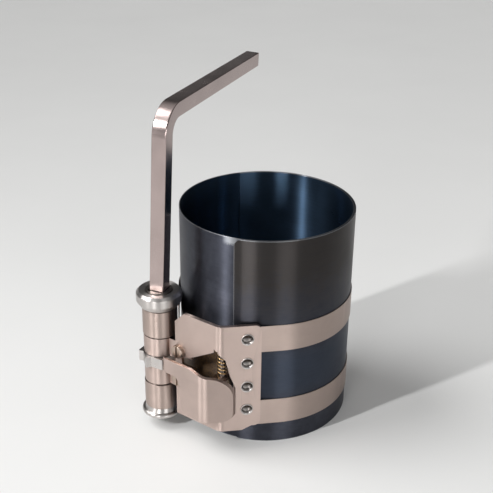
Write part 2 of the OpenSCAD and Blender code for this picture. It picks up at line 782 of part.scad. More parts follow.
module wire(path) {
    rings = len(path);
    points = [for (i = [0 : rings - 1]) each wire_ring(path, i)];
    ends = [
        [for (k = [0 : wire_sides - 1]) k],
        [for (k = [wire_sides - 1 : -1 : 0]) (rings - 1) * wire_sides + k]
    ];
    walls = [
        for (i = [0 : rings - 2], k = [0 : wire_sides - 1])
            let (next = (k + 1) % wire_sides)
            each [
                [i * wire_sides + next, i * wire_sides + k, (i + 1) * wire_sides + k],
                [i * wire_sides + next, (i + 1) * wire_sides + k, (i + 1) * wire_sides + next]
            ]
    ];
    polyhedron(points, concat(ends, walls), convexity = 10);
}

module pawl_spring() color(brass_steel) at_pin() wire(wire_path);

// Key

module key_section()
    polygon([
        for (q = [0 : 3], side = [-1, 1])
            let (half = key_side / 2, corner = half - key_chamfer)
            [cos(q * 90) * half - sin(q * 90) * side * corner,
             sin(q * 90) * half + cos(q * 90) * side * corner]
    ]);

// A straight length of bar along Z with a chamfered far end
module key_bar(length)
    intersection() {
        linear_extrude(length) key_section();
        rotate([0, 0, 45]) cylinder(
            r1 = (key_side / 2 - key_chamfer + length) * sqrt(2),
            r2 = (key_side / 2 - key_chamfer) * sqrt(2),
            h = length, $fn = 4);
    }

lean_z = socket_floor + socket_depth / 2;
key_tip_z = socket_floor + 0.3 - lean_z;
key_rise = key_top - lean_z;

module key() color(bright_steel)
    at_arbor() translate([0, 0, lean_z]) rotate([0, key_lean, 0]) rotate([0, 0, key_heading]) {
        translate([0, 0, key_rise - key_bend_r]) mirror([0, 0, 1])
            key_bar(key_rise - key_bend_r - key_tip_z);
        translate([key_bend_r, 0, key_rise - key_bend_r]) rotate([90, 0, 180])
            rotate_extrude(angle = 90) translate([key_bend_r, 0]) key_section();
        translate([key_bend_r, 0, key_rise]) rotate([0, 90, 0]) key_bar(key_arm - key_bend_r);
    }

sleeve();
upper_band();
lower_band();
sleeve_rivets();
ratchet_frame();
band_anchor_strip();
flange_rivets();
upper_clamp_nut();
lower_clamp_nut();
pawl_pin();
arbor();
arbor_head();
lower_flange();
ratchet_wheel();
wheel_pin();
upper_band_coil();
lower_band_coil();
upper_clamp_screw();
lower_clamp_screw();
release_pawl();
pawl_spring();
key();
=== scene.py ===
"""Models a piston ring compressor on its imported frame: sleeve, tension bands, ratchet and key."""

import json
import math

import bpy
from bpy.props import FloatProperty, FloatVectorProperty, IntProperty, PointerProperty
from mathutils import Matrix, Vector


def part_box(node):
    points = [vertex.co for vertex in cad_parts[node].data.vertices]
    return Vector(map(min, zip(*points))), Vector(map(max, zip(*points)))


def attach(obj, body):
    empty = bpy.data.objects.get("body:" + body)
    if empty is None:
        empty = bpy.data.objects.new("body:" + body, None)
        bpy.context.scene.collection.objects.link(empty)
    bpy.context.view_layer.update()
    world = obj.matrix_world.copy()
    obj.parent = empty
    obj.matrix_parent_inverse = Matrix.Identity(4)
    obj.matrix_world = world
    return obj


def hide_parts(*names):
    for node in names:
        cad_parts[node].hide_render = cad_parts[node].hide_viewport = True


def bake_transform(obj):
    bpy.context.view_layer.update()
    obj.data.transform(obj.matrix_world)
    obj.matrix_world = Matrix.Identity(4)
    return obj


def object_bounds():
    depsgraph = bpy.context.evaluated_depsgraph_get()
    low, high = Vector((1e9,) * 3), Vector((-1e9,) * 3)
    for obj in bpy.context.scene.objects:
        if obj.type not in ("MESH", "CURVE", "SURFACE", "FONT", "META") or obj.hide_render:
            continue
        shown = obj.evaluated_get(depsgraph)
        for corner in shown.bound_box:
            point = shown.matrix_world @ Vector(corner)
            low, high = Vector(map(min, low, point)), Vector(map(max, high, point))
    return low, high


bl_info = {
    "name": "Piston ring compressor",
    "version": (1, 0, 0),
    "blender": (4, 5, 0),
    "location": "View3D > Sidebar > Compressor",
    "description": "Models and finishes a piston ring compressor on its packed frame",
    "category": "Object",
}

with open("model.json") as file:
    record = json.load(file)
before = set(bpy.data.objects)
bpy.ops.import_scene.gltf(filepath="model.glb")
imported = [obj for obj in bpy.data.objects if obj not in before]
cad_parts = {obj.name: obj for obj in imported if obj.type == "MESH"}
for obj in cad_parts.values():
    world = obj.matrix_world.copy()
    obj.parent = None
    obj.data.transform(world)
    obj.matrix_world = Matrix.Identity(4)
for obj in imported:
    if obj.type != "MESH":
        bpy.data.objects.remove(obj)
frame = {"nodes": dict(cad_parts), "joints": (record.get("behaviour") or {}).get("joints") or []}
CAD_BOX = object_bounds()
JOINTS = {joint["name"]: joint for joint in frame["joints"]}
MM = 0.001
TURN = 2 * math.pi
HALF_TURN = TURN / 2
QUARTER_TURN = TURN / 4

# Places and directions from the joints: the leaf faces along LEAF_OUT and runs at LEAF_ANGLE in plan
ARBOR_AT = Vector(JOINTS["arbor_turn"]["pos_m"])
PIN_AT = Vector(JOINTS["pawl_rock"]["pos_m"])
LEAF_OUT = Vector(JOINTS["upper_screw_turn"]["axis"])
LEAF_ANGLE = math.atan2(LEAF_OUT.x, -LEAF_OUT.y)
KEY_AXIS = Vector(JOINTS["key_lift"]["axis"])
KEY_LEAN = math.atan2(KEY_AXIS.x, KEY_AXIS.z)

# How close points are joined, in metres, and how flat neighbouring faces are merged
JOIN_DISTANCE = 0.5e-6
CAD_JOIN_DISTANCE = 2e-6
FLAT_LIMIT = math.radians(0.5)

# The side of a spun strip on which it gets its thickness
INWARDS = -1
OUTWARDS = 1

# Share of a turn at which brushed metal draws highlights out along the height of upright faces
UPRIGHT_STREAK = 0.25


def length(name, description, default):
    """A size in metres."""
    return FloatProperty(
        name=name, description=description, default=default, unit="LENGTH", subtype="DISTANCE")


def angle(name, description, degrees):
    """An angle, given in degrees."""
    return FloatProperty(
        name=name, description=description, default=math.radians(degrees), subtype="ANGLE")


def colour(name, description, default):
    """A colour without alpha."""
    return FloatVectorProperty(
        name=name, description=description, default=default, size=3, min=0, max=1, subtype="COLOR")


def brightness(name, description, default):
    """A light level."""
    return FloatProperty(name=name, description=description, default=default)


# Settings


class SleeveSettings(bpy.types.PropertyGroup):
    """Sizes of the rolled sleeve."""

    thickness: length("Thickness", "Thickness of the sheet", 0.4 * MM)
    layer_gap: length("Layer gap", "Gap between the two layers", 0.2 * MM)
    outer_end: angle("Outer end", "Angle of the sheet's outer end, seen from above", 249)
    inner_sweep: angle("Inner sweep", "Angle that the inner layer covers", 220)
    corner_radius: length("Corner radius", "Corner radius of the sheet's outer end", 3.5 * MM)
    rim_round: length("Rim rounding", "Rounding of the sheet's edges", 0.09 * MM)


class BandSettings(bpy.types.PropertyGroup):
    """Sizes of the tension bands and their wound ends."""

    thickness: length("Thickness", "Thickness of the bands", 0.32 * MM)
    inner_radius: length("Inner radius", "Radius of the bands' inner face on the sleeve", 35.25 * MM)
    flat: length("Flat end", "Length of flat band behind the flange", 18 * MM)
    strand_angle: angle("Strand angle", "Angle at which the bands leave the sleeve", 183.4737)
    strand_length: length("Strand length", "Length of band from the sleeve to the arbor", 17.97 * MM)
    coil_turns: IntProperty(name="Turns", description="Turns of band wound on the arbor", default=4)
    coil_radius: length("Coil radius", "Inner radius of the wound turns", 5.15 * MM)
    coil_pitch: length("Coil pitch", "Distance between neighbouring turns", 0.4 * MM)
    tab_radius: length("Tab radius", "Distance of the band's inner tab from the arbor's axis", 4.2 * MM)
    edge_round: length("Edge rounding", "Rounding of the bands' edges", 0.08 * MM)


class FrameSettings(bpy.types.PropertyGroup):
    """Sizes of the ratchet frame and its fasteners."""

    bend: angle("Bend", "Bend between the leaf and the flange", 45)
    flange_face: length("Flange face", "Distance of the flange's face from the sleeve's axis", 37.1 * MM)
    sheet: length("Sheet", "Thickness of the frame's sheet", 1.5 * MM)
    edge_round: length("Edge rounding", "Rounding of the frame's edges", 0.22 * MM)
    rivet_along: length("Rivet place", "Distance of the rivet row along the flange", -13 * MM)
    rivet_back: length("Rivet back", "Distance of the rivets' inner ends from the sleeve's axis", 34.4 * MM)
    rivet_radius: length("Rivet radius", "Radius of the rivet heads", 2.5 * MM)
    rivet_hole: length("Rivet hole", "Radius of the hole in each rivet", 1.65 * MM)
    rivet_pitch: length("Rivet pitch", "Distance between neighbouring rivets", 10.6 * MM)
    spring_wire: length("Spring wire", "Thickness of the pawl's spring wire", 0.7 * MM)
    screw_radius: length("Screw radius", "Radius of the screw shanks", 1.6 * MM)
    screw_head: length("Screw head", "Radius of the screw heads", 2.8 * MM)
    screw_head_height: length("Screw head height", "Height of the screw heads", 1.8 * MM)
    leaf_face: length("Leaf face", "Distance of the leaf's outer face from its middle line", 2 * MM)
    screw_end: length("Screw end", "Distance of the screws' ends from the leaf's middle line", 5.7 * MM)


class ArborSettings(bpy.types.PropertyGroup):
    """Sizes of the arbor and what turns with it."""

    radius: length("Radius", "Radius of the arbor", 5.1 * MM)
    fit: length("Fit", "Clearance of what is pressed onto the arbor", 0.02 * MM)
    head_radius: length("Head radius", "Radius of the arbor's head", 9 * MM)
    head_height: length("Head height", "Height of the straight part of the head", 4.2 * MM)
    cone_radius: length("Cone radius", "Radius at the foot of the head's cone", 7.47 * MM)
    socket_depth: length("Socket depth", "Depth of the square socket", 12 * MM)
    edge_round: length("Edge rounding", "Rounding of turned edges", 0.15 * MM)


class KeySettings(bpy.types.PropertyGroup):
    """Sizes of the square key."""

    side: length("Side", "Width of the square bar", 6 * MM)
    edge: length("Edge", "Rounding of the bar's long edges", 0.5 * MM)
    tip: length("Tip", "Height of the key's lower end above the socket's floor", 0.3 * MM)
    top: length("Top", "Height of the middle of the arm above the lower rim", 132 * MM)
    arm: length("Arm", "Length of the arm from the middle of the shaft", 89.5 * MM)
    bend_radius: length("Bend radius", "Bend radius at the middle of the bar", 8.5 * MM)
    heading: angle("Heading", "Direction of the arm, seen from above", 69)


class FinishSettings(bpy.types.PropertyGroup):
    """Colours of the finishes."""

    blued: colour("Blued steel", "The sleeve's blued spring steel", (0.062, 0.066, 0.084))
    brown: colour("Brown bluing", "Browner upper part of the sleeve's outer layer", (0.058, 0.052, 0.049))
    temper: colour("Temper blue", "The bluer part of the sleeve between the bands", (0.052, 0.066, 0.094))
    inside: colour("Inside", "The sleeve's inside", (0.056, 0.100, 0.165))
    oil: colour("Old oil", "Oil caked behind the ratchet frame", (0.20, 0.12, 0.055))
    # Grime and painted shade: a dark colour for the rivets' holes, darkest on their upper side, where shade
    # falls
    grime: colour("Grime", "Dark oil in the rivets' hollows", (0.045, 0.032, 0.024))
    bare: colour("Bare steel", "Rubbed edges of the sleeve", (0.30, 0.31, 0.33))
    band: colour("Band steel", "Bright rolled strip", (0.46, 0.37, 0.33))
    sheet: colour("Plated sheet", "Warm nickel plate", (0.50, 0.40, 0.36))
    turned: colour("Plated turned steel", "Nickel plate over turned steel", (0.56, 0.53, 0.51))
    key: colour("Key steel", "Plated drawn bar", (0.44, 0.36, 0.345))
    arbor: colour("Arbor steel", "Oiled dark steel", (0.30, 0.27, 0.25))
    screw: colour("Screw steel", "Yellow passivated steel", (0.46, 0.37, 0.31))
    wire: colour("Spring wire", "Drawn wire", (0.46, 0.31, 0.16))
    floor: colour("Floor", "Pale studio floor", (0.80, 0.80, 0.79))


class StageSettings(bpy.types.PropertyGroup):
    """Camera, floor and surround."""

    camera_at: FloatVectorProperty(
        name="Camera place", description="Where the camera stands", size=3, subtype="TRANSLATION",
        default=(-7.86 * MM, -343.71 * MM, 236.86 * MM))
    camera_dip: angle("Camera dip", "How far the camera looks down", 25.915)
    camera_roll: angle("Camera roll", "How far the camera is turned about its own axis", 0.735)
    lens: FloatProperty(
        name="Lens", description="Focal length on a 36 mm sensor", default=69, unit="CAMERA")
    floor_size: length("Floor size", "Width of the floor", 8)
    horizon: brightness("Horizon", "Brightness of the surround near the floor", 0.6)
    walls: brightness("Walls", "Brightness of the surround half way up", 0.08)
    overhead: brightness("Overhead", "Brightness of the surround overhead", 0.5)


class CompressorSettings(bpy.types.PropertyGroup):
    """All settings of the compressor."""

    sleeve: PointerProperty(type=SleeveSettings)
    bands: PointerProperty(type=BandSettings)
    ratchet: PointerProperty(type=FrameSettings)
    arbor: PointerProperty(type=ArborSettings)
    key: PointerProperty(type=KeySettings)
    finish: PointerProperty(type=FinishSettings)
    stage: PointerProperty(type=StageSettings)


def settings():
    """The scene's settings."""
    return bpy.context.scene.compressor


# Shader arithmetic


class Term:
    """A value in a node tree: arithmetic on it adds Math nodes."""

    def __init__(self, shader, socket):
        self.shader = shader
        self.socket = socket

    def __add__(self, other):
        return self.shader.math("ADD", self, other)

    def __radd__(self, other):
        return self.shader.math("ADD", other, self)

    def __sub__(self, other):
        return self.shader.math("SUBTRACT", self, other)

    def __rsub__(self, other):
        return self.shader.math("SUBTRACT", other, self)

    def __mul__(self, other):
        return self.shader.math("MULTIPLY", self, other)

    def __rmul__(self, other):
        return self.shader.math("MULTIPLY", other, self)


class Shader:
    """The node tree of a material or of the surround."""

    def __init__(self, owner):
        owner.use_nodes = True
        self.owner = owner
        self.tree = owner.node_tree

    def node(self, kind, options=None, inputs=None, output=0):
        """Adds a node, sets it, fills its sockets with values or links, and gives one of its outputs."""
        made = self.tree.nodes.new(kind)
        for name, value in (options or {}).items():
            if name == "stops":
                self.set_stops(made.color_ramp, value)
            else:
                setattr(made, name, value)
        for name, value in (inputs or {}).items():
            self.feed(made.inputs[name], value)
        return Term(self, made.outputs[output])

    def set_stops(self, ramp, stops):
        """Gives a ramp its stops, each a place and a grey level."""
        while len(ramp.elements) < len(stops):
            ramp.elements.new(1)
        for element, (place, level) in zip(ramp.elements, stops):
            element.position = place
            element.color = (level, level, level, 1)

    def feed(self, socket, value):
        """Links a term to a socket, or sets the socket to a plain value."""
        if isinstance(value, Term):
            self.tree.links.new(value.socket, socket)
        else:
            socket.default_value = value

    def math(self, operation, left, right):
        """Adds a Math node."""
        return self.node("ShaderNodeMath", {"operation": operation}, {0: left, 1: right})

    def blend(self, factor, first, second):
        """Mixes two colours."""
        options = {"data_type": "RGBA", "clamp_factor": True}
        return self.node("ShaderNodeMix", options, {0: factor, 6: first, 7: second}, output=2)

    def places(self, scale=(1, 1, 1)):
        """Object coordinates in millimetres, stretched."""
        here = self.node("ShaderNodeTexCoord", output="Object")
        stretch = [value / MM for value in scale]
        return self.node("ShaderNodeMapping", {}, {"Vector": here, "Scale": stretch})

    def noise(self, where, scale, detail=3.0):
        """Noise between 0 and 1."""
        values = {"Vector": where, "Scale": scale, "Detail": detail, "Roughness": 0.55}
        return self.node("ShaderNodeTexNoise", {}, values)

    def range(self, value, low, high, to_low=0.0, to_high=1.0):
        """Maps a range of values to another one, with clamping."""
        values = {"Value": value, "From Min": low, "From Max": high, "To Min": to_low, "To Max": to_high}
        return self.node("ShaderNodeMapRange", {"clamp": True}, values)

    def within(self, value, rise, fall):
        """1 between two soft edges and 0 outside them; an edge is given by where it starts and ends."""
        return self.range(value, *rise) * self.range(value, *fall, to_low=1.0, to_high=0.0)

    def edges(self):
        """How much a place is a convex edge."""
        sharp = self.node("ShaderNodeNewGeometry", output="Pointiness")
        return self.range(sharp, low=0.52, high=0.58)

    def stored(self, name):
        """A number stored on a piece's points."""
        return self.node("ShaderNodeAttribute", {"attribute_name": name}, output="Fac")

    def axes(self, where):
        """The three parts of a place."""
        split = self.node("ShaderNodeSeparateXYZ", {}, {"Vector": where})
        return [Term(self, socket) for socket in split.socket.node.outputs]

    def finish(self, base, roughness, metallic, bump=None, strength=0.0, **constants):
        """Feeds the material's surface and gives the material."""
        surface = self.tree.nodes["Principled BSDF"]
        self.feed(surface.inputs["Base Color"], base)
        self.feed(surface.inputs["Roughness"], roughness)
        self.feed(surface.inputs["Metallic"], metallic)
        for name, value in constants.items():
            surface.inputs[name.replace("_", " ")].default_value = value
        if bump is not None:
            values = {"Height": bump, "Strength": strength, "Distance": 0.02 * MM}
            self.feed(surface.inputs["Normal"], self.node("ShaderNodeBump", {}, values))
        return self.owner


# Finishes


def shade(tint, factor=1.0):
    """A tint made lighter or darker, with alpha."""
    return [min(channel * factor, 1.0) for channel in tint] + [1.0]


def plated_metal(name, tint, rough, grain_scale=(0.3, 0.3, 5.0), streak=0.9):
    """Nickel plate: faint rolling lines, cloudy tint, brighter rubbed edges, and dark grime with painted
    shade in its hollows.
    """
    shader = Shader(bpy.data.materials.new(name))
    place = shader.places()
    clouds = shader.noise(place, scale=0.11)
    grain = shader.noise(shader.places(grain_scale), scale=1.0, detail=5.0)
    specks = shader.noise(place, scale=2.6, detail=2.0)
    worn = shader.edges()
    tone = shader.range(0.75 * clouds + 0.25 * grain, low=0.32, high=0.68)
    plate = shader.blend(tone, shade(tint, 0.9), shade(tint, 1.06))
    rubbed = shader.blend(0.4 * worn, plate, shade(tint, 1.2))
    # Painted shade and grime stored on the rivets' points, darkest on the upper side of their holes
    grime = shader.stored("grime")
    patchy_grime_and_shade = grime * shader.range(specks, low=0.2, high=0.6, to_low=0.8)
    stained = shader.blend(patchy_grime_and_shade, rubbed, shade(settings().finish.grime))
    cloudy = shader.range(clouds, low=0.3, high=0.7, to_low=-0.03, to_high=0.04)
    dull = cloudy + 0.08 * grain + rough - 0.05 * worn + 0.25 * grime
    height = 0.7 * grain + 0.3 * specks
    return shader.finish(stained, dull, 1.0, height, strength=0.05, Anisotropic=streak,
                         Anisotropic_Rotation=UPRIGHT_STREAK)


def blued_metal(name, tints):
    """Blued spring steel: grey, brown and temper blue, with rolling lines, rubbed edges and caked oil."""
    shader = Shader(bpy.data.materials.new(name))
    place = shader.places()
    x, y, z = shader.axes(place)
    clouds = shader.noise(place, scale=0.06)
    lines = shader.noise(shader.places((0.12, 0.12, 5.0)), scale=1.0, detail=6.0)
    specks = shader.noise(place, scale=3.0, detail=2.0)
    mottle = shader.noise(place, scale=0.3, detail=4.0)
    uneven_height = z + 6 * clouds

    # Which layer and face a place is on, and how far along the sheet it is from the seam, in mm
    sizes = settings().sleeve
    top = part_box("sleeve")[1] / MM
    between_layers = top.x - sizes.thickness / MM - 0.1
    radius = shader.math("SQRT", x * x + y * y, 0)
    along = (shader.math("ARCTAN2", y, x) - math.remainder(sizes.outer_end, TURN)) * top.x
    after_seam = shader.math("GREATER_THAN", along, 0.0)
    outer_layer = shader.math("GREATER_THAN", radius, between_layers) * after_seam
    inner_face = shader.stored("inside")

    # The bluing: brown towards the top of the outer layer, bluer between the bands and inside
    uneven = shader.range(0.5 * clouds + 0.5 * mottle, low=0.36, high=0.64)
    grey = shader.blend(uneven, shade(tints.blued, 0.8), shade(tints.blued, 1.2))
    brown_part = outer_layer * shader.range(uneven_height + 24 * mottle, low=64, high=90)
    browned = shader.blend(brown_part, grey, shade(tints.brown))
    between_bands = shader.within(uneven_height, rise=(20, 28), fall=(40, 48))
    blue = shader.blend(0.75 * between_bands, browned, shade(tints.temper))
    both_faces = shader.blend(inner_face, blue, shade(tints.inside))
    dark_lines = shader.range(lines, low=0.35, high=0.65, to_high=0.25)
    streaked = shader.blend(dark_lines, both_faces, shade(tints.blued, 0.55))

    # Rubbed rims and seam, and a worn patch on the inner layer behind the seam's rounded top corner
    width = 0.2 + 0.4 * specks
    below_top = top.z - z
    rims = shader.math("LESS_THAN", shader.math("MINIMUM", z, below_top), 0.6 * width)
    seam = outer_layer * shader.math("LESS_THAN", along, width)
    edges = shader.math("MAXIMUM", 0.7 * rims, 0.25 * seam)
    beside_seam = shader.within(along, rise=(-5, -1.5), fall=(3, 4))
    near_top = shader.range(below_top + 2 * specks, low=3, high=4.5, to_low=1.0, to_high=0.0)
    corner = beside_seam * near_top * (1 - inner_face) * (1 - outer_layer)
    rubbed = shader.blend(shader.math("MAXIMUM", edges, corner), streaked, shade(tints.bare))

    # Old oil behind the ratchet frame
    behind = shader.within(along, rise=(-36, -32), fall=(-2, 0)) * (1 - inner_face)
    caked = behind * shader.within(uneven_height, rise=(20, 26), fall=(44, 52))
    patches = caked * shader.range(specks, low=0.35, high=0.55, to_low=0.1)
    oily = shader.blend(patches, rubbed, shade(tints.oil))

    cloudy = shader.range(clouds, low=0.3, high=0.7, to_low=-0.03, to_high=0.04)
    dull = 0.34 + 0.06 * lines + cloudy + 0.2 * patches - 0.06 * inner_face
    height = 0.7 * lines + 0.3 * specks
    return shader.finish(oily, dull, 0.95 - 0.95 * patches, height, strength=0.02, Anisotropic=1.0,
                         Anisotropic_Rotation=UPRIGHT_STREAK)


FINISHES = {
    "blued_steel": lambda tints: blued_metal("blued spring steel", tints),
    "band_steel": lambda tints: plated_metal("bright rolled strip", tints.band, rough=0.36),
    "plated_sheet": lambda tints: plated_metal("warm nickel sheet", tints.sheet, rough=0.38),
    "plated_turned": lambda tints: plated_metal("nickel on turned steel", tints.turned, rough=0.30),
    "key_steel": lambda tints: plated_metal(
        "plated drawn bar", tints.key, rough=0.20, grain_scale=(3.0, 3.0, 0.3), streak=0.0),
    "arbor_steel": lambda tints: plated_metal("oiled dark steel", tints.arbor, rough=0.34),
    "screw_steel": lambda tints: plated_metal(
        "yellow passivated steel", tints.screw, rough=0.30, streak=0.0),
    "spring_wire": lambda tints: plated_metal("drawn spring wire", tints.wire, rough=0.28, streak=0.0),
}
made_finishes = {}


def finish_of(slot):
    """The material of a slot, made once."""
    if slot not in made_finishes:
        made_finishes[slot] = FINISHES[slot](settings().finish)
    return made_finishes[slot]


# Modelling helpers


def clear_selection():
    """Deselects every object."""
    bpy.ops.object.select_all(action="DESELECT")


def make_active(piece):
    """Selects one object alone."""
    clear_selection()
    piece.select_set(True)
    bpy.context.view_layer.objects.active = piece


def start_point(name, place):
    """Starts a mesh as one point in edit mode, ready to be extruded."""
    clear_selection()
    bpy.ops.mesh.primitive_plane_add(size=1)
    piece = bpy.context.object
    piece.name = name
    piece.data.name = name
    bpy.ops.object.mode_set(mode="EDIT")
    bpy.ops.mesh.select_mode(type="VERT")
    bpy.ops.mesh.select_all(action="SELECT")
    bpy.ops.mesh.merge(type="CENTER")
    bpy.ops.transform.translate(value=place)
    return piece


def extrude(step):
    """Extrudes what is selected by a step."""
    bpy.ops.mesh.extrude_region_move(TRANSFORM_OT_translate={"value": step})


def spin(steps, sweep, centre=(0, 0, 0), axis=(0, 0, 1)):
    """Spins what is selected anticlockwise about an axis, for which the operator takes a negative angle."""
    bpy.ops.mesh.spin(steps=steps, angle=-sweep, center=centre, axis=axis, use_auto_merge=False)


def start_edge(name, foot, height):
    """Starts a strip as one upright edge, selected."""
    piece = start_point(name, foot)
    extrude((0, 0, height))
    bpy.ops.mesh.select_all(action="SELECT")
    return piece


def close_mesh():
    """Merges what meets, points the faces outwards and leaves edit mode."""
    bpy.ops.mesh.select_all(action="SELECT")
    bpy.ops.mesh.remove_doubles(threshold=JOIN_DISTANCE)
    bpy.ops.mesh.normals_make_consistent(inside=False)
    bpy.ops.object.mode_set(mode="OBJECT")


def modify(piece, kind, **values):
    """Adds a modifier, sets it and applies it."""
    modifier = piece.modifiers.new(kind.lower(), kind)
    for name, value in values.items():
        setattr(modifier, name, value)
    bpy.ops.object.modifier_apply(modifier=modifier.name)


def round_edges(piece, width, segments=2, limit=30):
    """Rounds the edges that are sharper than a limit in degrees."""
    modify(piece, "BEVEL", width=width, segments=segments, limit_method="ANGLE",
           angle_limit=math.radians(limit), use_clamp_overlap=True)


def make_sheet(piece, thickness, side, edge):
    """Closes a spun strip, gives it its thickness on one side and rounds its edges."""
    close_mesh()
    modify(piece, "SOLIDIFY", thickness=thickness, offset=side, use_even_offset=True)
    round_edges(piece, edge)


def put_in_place(piece, place):
    """Moves a piece to its frame and applies the move to its mesh."""
    piece.matrix_world = place
    make_active(piece)
    bpy.ops.object.transform_apply(location=True, rotation=True, scale=True)


def smooth(piece, limit=32):
    """Smooth shading, except over edges sharper than a limit in degrees, with faces weighted by area."""
    make_active(piece)
    bpy.ops.object.shade_smooth_by_angle(angle=math.radians(limit))
    modify(piece, "WEIGHTED_NORMAL", keep_sharp=True, weight=50)


def dress(piece, slot, node):
    """Gives a finished piece its finish and hides the CAD node that it stands for."""
    piece.data.materials.clear()
    piece.data.materials.append(finish_of(slot))
    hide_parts(node)


def hand_over(piece, body, slot, node):
    """Smooths a finished piece, dresses it and lets it ride on its body."""
    smooth(piece)
    dress(piece, slot, node)
    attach(piece, body)


def lathe(name, profile, steps, closed=False):
    """A turned piece from a profile of radius and height, closed on itself or ending on the axis."""
    first = Vector((profile[0][0], 0, profile[0][1]))
    piece = start_point(name, first)
    before = first
    for radius, height in profile[1:]:
        here = Vector((radius, 0, height))
        extrude(here - before)
        before = here
    if closed:
        extrude(first - before)
    bpy.ops.mesh.select_all(action="SELECT")
    spin(steps, TURN)
    close_mesh()
    return piece


def arc(centre, radius, start, end, steps=4):
    """Points of radius and height along an arc, with angles in degrees."""
    turns = [math.radians(start + (end - start) * step / steps) for step in range(steps + 1)]
    return [(centre[0] + radius * math.cos(turn), centre[1] + radius * math.sin(turn)) for turn in turns]


def mark(piece, name, amount):
    """Stores a number on every point of a piece, for its finish to read."""
    layer = piece.data.attributes.new(name, "FLOAT", "POINT")
    for point, entry in zip(piece.data.vertices, layer.data):
        entry.value = amount(point)


def joined_copy(node, name):
    """A copy of a CAD node's mesh with its loose triangles joined."""
    source = frame["nodes"][node]
    piece = bpy.data.objects.new(name, source.data.copy())
    piece.data.name = name
    bpy.context.scene.collection.objects.link(piece)
    make_active(piece)
    bpy.ops.object.mode_set(mode="EDIT")
    bpy.ops.mesh.select_all(action="SELECT")
    bpy.ops.mesh.customdata_custom_splitnormals_clear()
    bpy.ops.mesh.remove_doubles(threshold=CAD_JOIN_DISTANCE)
    bpy.ops.mesh.dissolve_limited(angle_limit=FLAT_LIMIT)
    bpy.ops.object.mode_set(mode="OBJECT")
    return piece


def rounded_copy(node, name, width, segments=2):
    """A joined copy of a CAD node with its edges rounded."""
    piece = joined_copy(node, name)
    round_edges(piece, width, segments)
    return piece


def upright_frame(place, turn):
    """A frame that stands at a place in plan, with its X at an angle round Z."""
    return Matrix.Translation((place.x, place.y, 0)) @ Matrix.Rotation(turn, 4, "Z")


def flange_angle():
    """Direction of the flange's outward normal, seen from above."""
    return LEAF_ANGLE + settings().ratchet.bend - QUARTER_TURN


def flange_frame():
    """A frame on the sleeve's axis, with its X along the flange's outward normal."""
    return Matrix.Rotation(flange_angle(), 4, "Z")


def outward_frame(base, place):
    """A frame at a place of another one, whose Z points along the other's X."""
    return base @ Matrix.Translation(place) @ Matrix.Rotation(QUARTER_TURN, 4, "Y")


# Pieces


class COMPRESSOR_OT_sleeve(bpy.types.Operator):
    """Models the rolled sleeve."""

    bl_idname = "compressor.sleeve"
    bl_label = "Sleeve"

    def execute(self, context):
        sizes = settings().sleeve
        corner_steps = 8
        half_turn_steps = 60
        inner_steps = 72
        low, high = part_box("sleeve")
        height = high.z - low.z
        middle = (0, 0, (low.z + high.z) / 2)
        layer_step = sizes.thickness + sizes.layer_gap
        corner_turn = sizes.corner_radius / high.x
        piece = start_edge("sleeve_sheet", (high.x, 0, low.z), height)
        before = 1.0
        for column in range(corner_steps + 1):
            inset = sizes.corner_radius * (1 - column / corner_steps)
            drop = sizes.corner_radius - math.sqrt(sizes.corner_radius ** 2 - inset ** 2)
            share = 1 - 2 * drop / height
            bpy.ops.transform.resize(value=(1, 1, share / before), center_override=middle)
            before = share
            if column < corner_steps:
                spin(1, corner_turn / corner_steps)
        spin(half_turn_steps, HALF_TURN - corner_turn)
        spin(half_turn_steps, HALF_TURN, (-layer_step / 2, 0, 0))
        spin(inner_steps, sizes.inner_sweep)
        make_sheet(piece, sizes.thickness, INWARDS, sizes.rim_round)
        put_in_place(piece, Matrix.Rotation(sizes.outer_end, 4, "Z"))
        mark(piece, "inside", self.faces_axis)
        hand_over(piece, "sleeve_and_frame", "blued_steel", "sleeve")
        return {"FINISHED"}

    def faces_axis(self, point):
        """1 where the sheet faces the sleeve's axis, and 0 elsewhere."""
        outwards = Vector((point.co.x, point.co.y, 0))
        return float(point.normal.dot(outwards) < 0)


class COMPRESSOR_OT_bands(bpy.types.Operator):
    """Models the two tension bands round the sleeve."""

    bl_idname = "compressor.bands"
    bl_label = "Tension bands"

    def execute(self, context):
        sizes = settings().bands
        turn_steps = 120
        sweep = sizes.strand_angle - flange_angle()
        outside = sizes.inner_radius + sizes.thickness
        run = Vector((-math.sin(sweep), math.cos(sweep), 0)) * sizes.strand_length
        for node in ("upper_band", "lower_band"):
            low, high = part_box(node)
            piece = start_edge(node + "_strip", (outside, -sizes.flat, low.z), high.z - low.z)
            extrude((0, sizes.flat, 0))
            spin(turn_steps, sweep)
            extrude(run)
            make_sheet(piece, sizes.thickness, INWARDS, sizes.edge_round)
            put_in_place(piece, flange_frame())
            hand_over(piece, "sleeve_and_frame", "band_steel", node)
        return {"FINISHED"}


class COMPRESSOR_OT_sleeve_rivets(bpy.types.Operator):
    """Models the rivets that hold the bands at the back of the sleeve."""

    bl_idname = "compressor.sleeve_rivets"
    bl_label = "Sleeve rivets"

    def execute(self, context):
        bands = settings().bands
        overhang = 0.7 * MM
        dome_steps = 8
        low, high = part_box("sleeve_rivets")
        head = (high.x - low.x) / 2
        shank = head - overhang
        rise = high.y - bands.inner_radius - bands.thickness
        grip = high.y - low.y - rise
        turns = [QUARTER_TURN * step / dome_steps for step in range(dome_steps)]
        profile = [(0, -grip), (shank, -grip), (shank, 0)]
        profile += [(head * math.cos(turn), rise * math.sin(turn)) for turn in turns]
        profile += [(0, rise)]
        for name, z in (("upper", high.z - head), ("lower", low.z + head)):
            piece = lathe(name + "_sleeve_rivet", profile, steps=40)
            back = Matrix.Translation((0, high.y - rise, z)) @ Matrix.Rotation(-QUARTER_TURN, 4, "X")
            put_in_place(piece, back)
            hand_over(piece, "sleeve_and_frame", "plated_turned", "sleeve_rivets")
        return {"FINISHED"}


